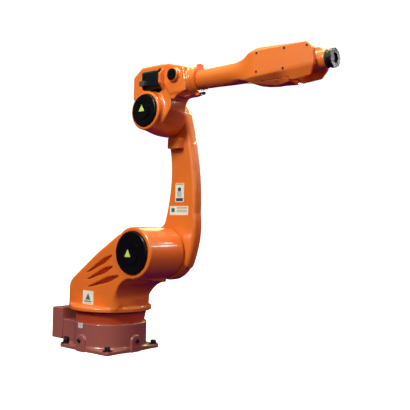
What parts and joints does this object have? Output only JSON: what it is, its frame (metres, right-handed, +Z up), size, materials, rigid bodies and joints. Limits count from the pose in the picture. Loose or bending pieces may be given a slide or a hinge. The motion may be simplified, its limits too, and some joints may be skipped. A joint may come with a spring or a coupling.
{
  "type": "industrial robot arm",
  "caption": "Floor-standing six-axis industrial robot arm with a bowed link arm, slim forearm, forked wrist and bolted base plate.",
  "frame": {"origin": "on the turning axis of the column, on the underside of the base plate", "axes": "+X from the column towards the tool, +Y to the side that carries the link arm, +Z up"},
  "size_m": [1.6133, 0.4409, 1.462],
  "materials": {
    "orange_paint": "gloss",
    "ring_paint": "gloss",
    "base_paint": "gloss",
    "black_cover": "gloss",
    "motor_black": "satin",
    "dark_steel": "satin",
    "flange_steel": "satin",
    "plated_fitting": "satin",
    "grey_panel": "satin",
    "rubber": "matte"
  },
  "bodies": {
    "base": {"base_casting": "base_paint", "connector_box": "base_paint", "connector_panel": "grey_panel", "power_connector": "grey_panel", "signal_connector": "grey_panel", "air_inlet": "plated_fitting", "earth_gland": "plated_fitting", "reducer_ring": "ring_paint"},
    "turret": {"turret_casting": "orange_paint", "turret_stop": "orange_paint", "shoulder_motor_cap": "black_cover"},
    "link_arm": {"shoulder_output_flange": "dark_steel", "link_arm_casting": "orange_paint", "shoulder_hub_cover": "orange_paint", "elbow_hub_cover": "orange_paint", "elbow_stop_block": "orange_paint", "elbow_output_flange": "dark_steel"},
    "elbow": {"elbow_casting": "orange_paint", "elbow_motor_cap": "black_cover", "forearm_motor_flange": "orange_paint", "forearm_motor": "motor_black", "motor_connector": "grey_panel", "rear_cover": "orange_paint", "side_boss_cap": "black_cover"},
    "forearm": {"forearm_collar": "orange_paint", "forearm_stop_buffer": "rubber", "forearm_casting": "orange_paint", "wrist_cover_near": "orange_paint", "wrist_cover_far": "orange_paint", "wrist_bottom_cover": "orange_paint"},
    "wrist": {"wrist_housing": "orange_paint", "wrist_seal_ring": "rubber"},
    "tool_flange": {"tool_flange": "flange_steel"}
  },
  "joints": [
    {"name": "turret_turn", "type": "hinge", "parent": "base", "child": "turret", "pos_m": [0, 0, 0.2], "axis": [0, 0, 1], "range_deg": [-170, 170]},
    {"name": "shoulder_pivot", "type": "hinge", "parent": "turret", "child": "link_arm", "pos_m": [0.302, 0, 0.509], "axis": [0, 1, 0], "range_deg": [-50, 55]},
    {"name": "elbow_pivot", "type": "hinge", "parent": "link_arm", "child": "elbow", "pos_m": [0.314, 0, 1.206], "axis": [0, -1, 0], "range_deg": [-75, 85]},
    {"name": "forearm_roll", "type": "hinge", "parent": "elbow", "child": "forearm", "pos_m": [0.58, 0, 1.341], "axis": [1, 0, 0], "range_deg": [-180, 180]},
    {"name": "wrist_bend", "type": "hinge", "parent": "forearm", "child": "wrist", "pos_m": [1.19, 0, 1.341], "axis": [0, -1, 0], "range_deg": [-110, 110]},
    {"name": "tool_turn", "type": "hinge", "parent": "wrist", "child": "tool_flange", "pos_m": [1.28, 0, 1.341], "axis": [1, 0, 0], "range_deg": [-360, 360]}
  ]
}
